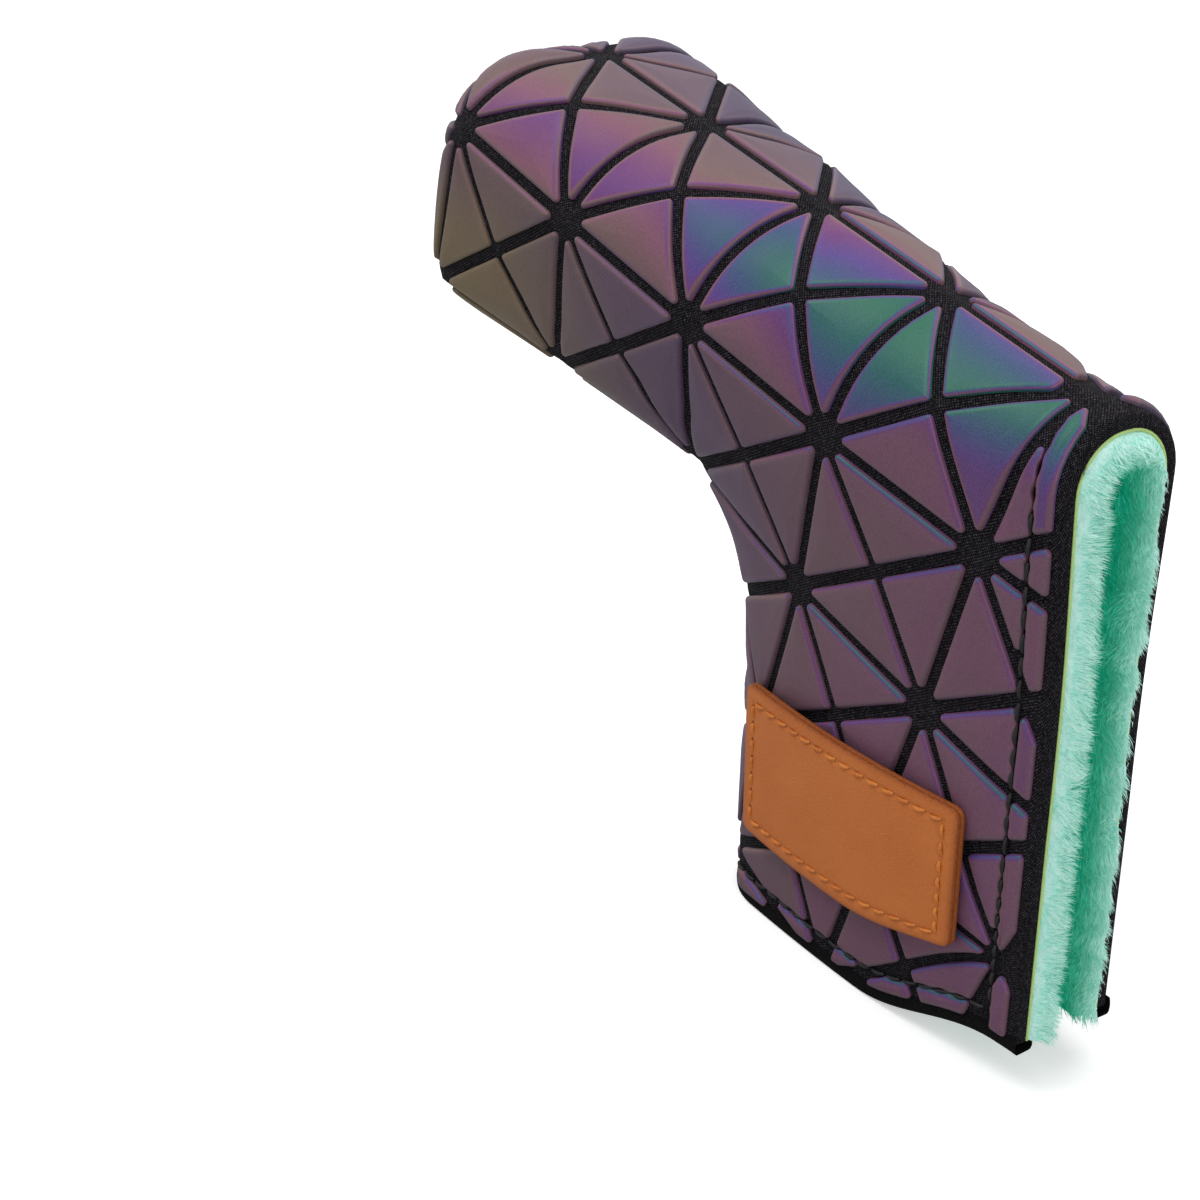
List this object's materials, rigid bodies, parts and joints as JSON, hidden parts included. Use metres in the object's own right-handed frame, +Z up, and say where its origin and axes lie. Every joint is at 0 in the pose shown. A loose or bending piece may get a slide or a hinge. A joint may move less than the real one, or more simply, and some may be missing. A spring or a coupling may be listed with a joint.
{
  "type": "putter head cover",
  "caption": "L-shaped padded cover for a blade putter head: faceted outer skin, fleece lining, two hinged neck flaps, open heel side.",
  "frame": {"origin": "centre of the bounding box on the plane of the neck end", "axes": "+Z up from the neck end to the sole, +X toward the open lip (heel side), -X toward the toe end, -Y the side with the leather label"},
  "size_m": [0.1499, 0.0568, 0.1353],
  "materials": {
    "tile": "satin colour-shift",
    "woven": "plain weave",
    "foam": "foam",
    "fleece": "deep pile",
    "piping": "edge tape",
    "magnet": "plated",
    "label_leather": "smooth",
    "tan_thread": "thread",
    "black_thread": "thread"
  },
  "bodies": {
    "pouch": {"pouch_skin": "woven", "toe_skin": "woven", "pouch_foam": "foam", "toe_foam": "foam", "pouch_fleece": "fleece", "toe_fleece": "fleece", "underside_seam": "black_thread", "neck_spine": "woven", "shoulder_binding": "woven", "shoulder_piping": "piping", "tiles_near": "tile", "tiles_far": "tile", "tiles_sole": "tile", "tiles_toe": "tile"},
    "near_flap": {"near_flap_skin": "woven", "near_flap_foam": "foam", "near_flap_fleece": "fleece", "near_lip_binding": "woven", "near_lip_piping": "piping", "near_hem": "woven", "tiles_near_flap": "tile", "near_topstitch": "black_thread", "near_magnet": "magnet", "label": "label_leather", "label_thread": "tan_thread"},
    "far_flap": {"far_flap_skin": "woven", "far_flap_foam": "foam", "far_flap_fleece": "fleece", "far_lip_binding": "woven", "far_lip_piping": "piping", "far_hem": "woven", "tiles_far_flap": "tile", "far_topstitch": "black_thread", "far_magnet": "magnet"}
  },
  "joints": [
    {"name": "near_flap_hinge", "type": "hinge", "parent": "pouch", "child": "near_flap", "pos_m": [-0.0042, -0.002, 0], "axis": [0, 0, -1], "range_deg": [-2, 25]},
    {"name": "far_flap_hinge", "type": "hinge", "parent": "pouch", "child": "far_flap", "pos_m": [-0.0042, 0.002, 0], "axis": [0, 0, 1], "range_deg": [-2, 25]}
  ]
}
